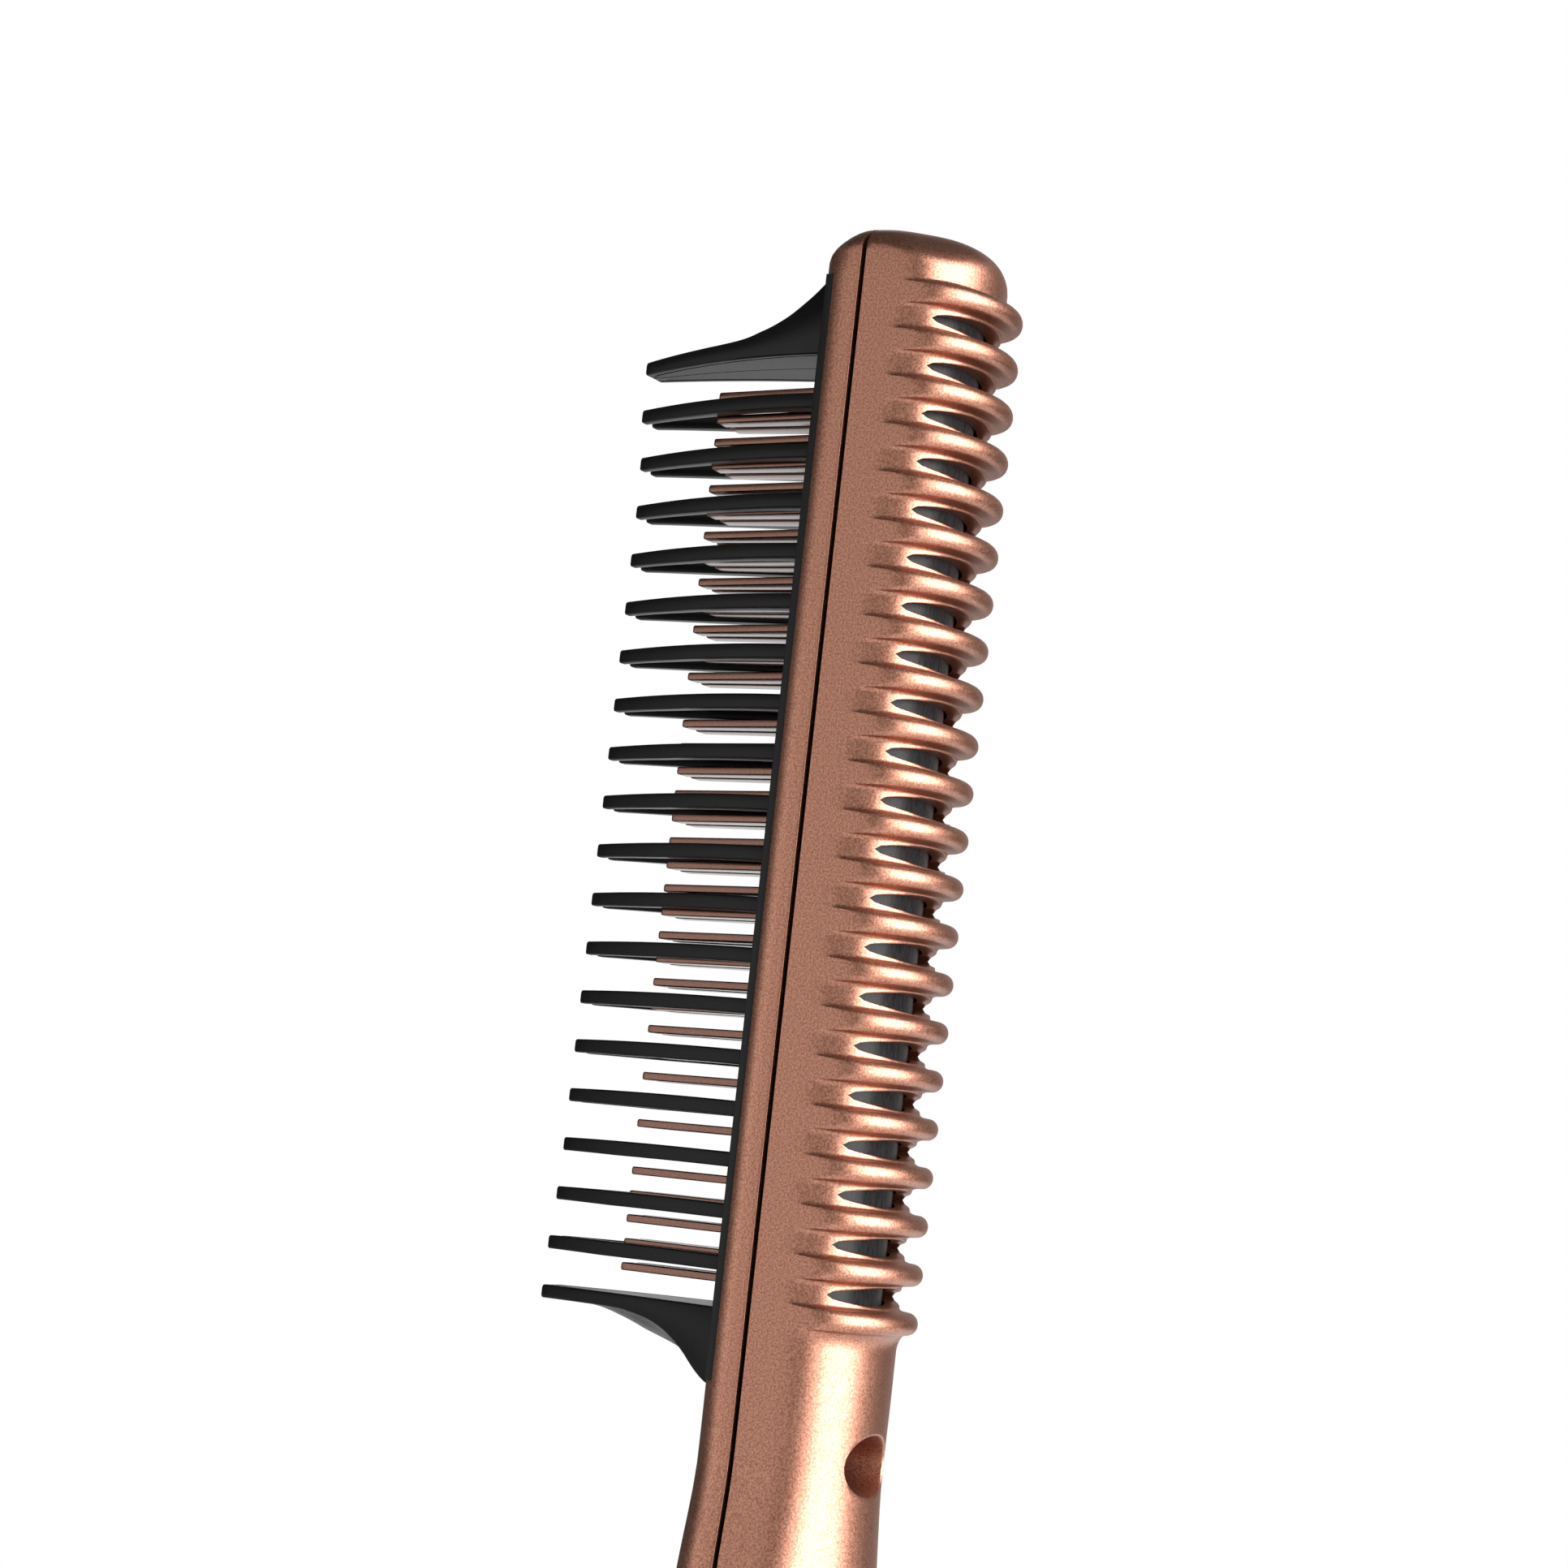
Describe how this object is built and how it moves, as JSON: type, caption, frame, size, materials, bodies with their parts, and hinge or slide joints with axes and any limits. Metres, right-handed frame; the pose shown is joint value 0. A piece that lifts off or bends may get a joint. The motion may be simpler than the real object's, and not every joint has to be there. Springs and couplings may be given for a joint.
{
  "type": "hair straightening brush",
  "caption": "Slim heated comb brush: guard blades around a finned hot plate, a ribbed and slotted arched back, and a straight handle with keys and a turning cord entry.",
  "frame": {"origin": "centre of the cord entry's mouth in the tail face", "axes": "+Z from the tail face up to the head's end, -Y towards the comb's teeth, +Y towards the ribbed back, +X across the width"},
  "size_m": [0.0292, 0.0505, 0.28],
  "materials": {
    "rose_metallic": "satin rose metallic coat with a fine sparkle",
    "black_plastic": "matte black",
    "gloss_black": "gloss black",
    "bronze_coat": "satin brown metallic coat",
    "ceramic_white": "fired ceramic, stood in for by plastic",
    "mica": "mica sheet, stood in for by plastic",
    "steel": "plated",
    "aluminium": "satin",
    "lead_red": "silicone sleeve",
    "clear_window": "tinted clear plastic",
    "board_green": "solder mask",
    "capacitor_yellow": "moulded box",
    "fuse_glass": "clear",
    "brass": "plain"
  },
  "bodies": {
    "brush": {"rear_shell": "rose_metallic", "front_shell": "rose_metallic", "tail_cap": "rose_metallic", "comb_guard": "black_plastic", "liner_left": "black_plastic", "liner_right": "black_plastic", "control_panel": "gloss_black", "heater_comb": "bronze_coat", "ceramic_heaters": "ceramic_white", "mica_sheet": "mica", "clamp_plate": "steel", "heater_screws": "steel", "comb_screws": "steel", "neck_screw": "steel", "board_screws": "steel", "thermal_fuse": "aluminium", "thermistor": "gloss_black", "heater_leads": "lead_red", "display_window": "clear_window", "display_module": "gloss_black", "tact_switches": "gloss_black", "control_board": "board_green", "triac": "gloss_black", "film_capacitor": "capacitor_yellow", "electrolytic_capacitor": "aluminium", "glass_fuse": "fuse_glass", "microcontroller": "gloss_black", "terminal_block": "board_green", "contact_fingers": "brass", "contact_block": "black_plastic"},
    "power_button": {"power_button": "rose_metallic"},
    "plus_button": {"plus_button": "rose_metallic"},
    "minus_button": {"minus_button": "rose_metallic"},
    "swivel": {"swivel_gland": "black_plastic", "swivel_contacts": "brass"}
  },
  "joints": [
    {"name": "power_press", "type": "slide", "parent": "brush", "child": "power_button", "axis": [0, 1, 0], "range_m": [0, 0.0005], "stiffness_N_per_m": 800, "springref_m": -0.0002},
    {"name": "plus_press", "type": "slide", "parent": "brush", "child": "plus_button", "axis": [0, 1, 0], "range_m": [0, 0.0005], "stiffness_N_per_m": 800, "springref_m": -0.0002},
    {"name": "minus_press", "type": "slide", "parent": "brush", "child": "minus_button", "axis": [0, 1, 0], "range_m": [0, 0.0005], "stiffness_N_per_m": 800, "springref_m": -0.0002},
    {"name": "cord_swivel", "type": "hinge", "parent": "brush", "child": "swivel", "pos_m": [0, 0, 0], "axis": [0, 0, 1], "continuous": true}
  ]
}
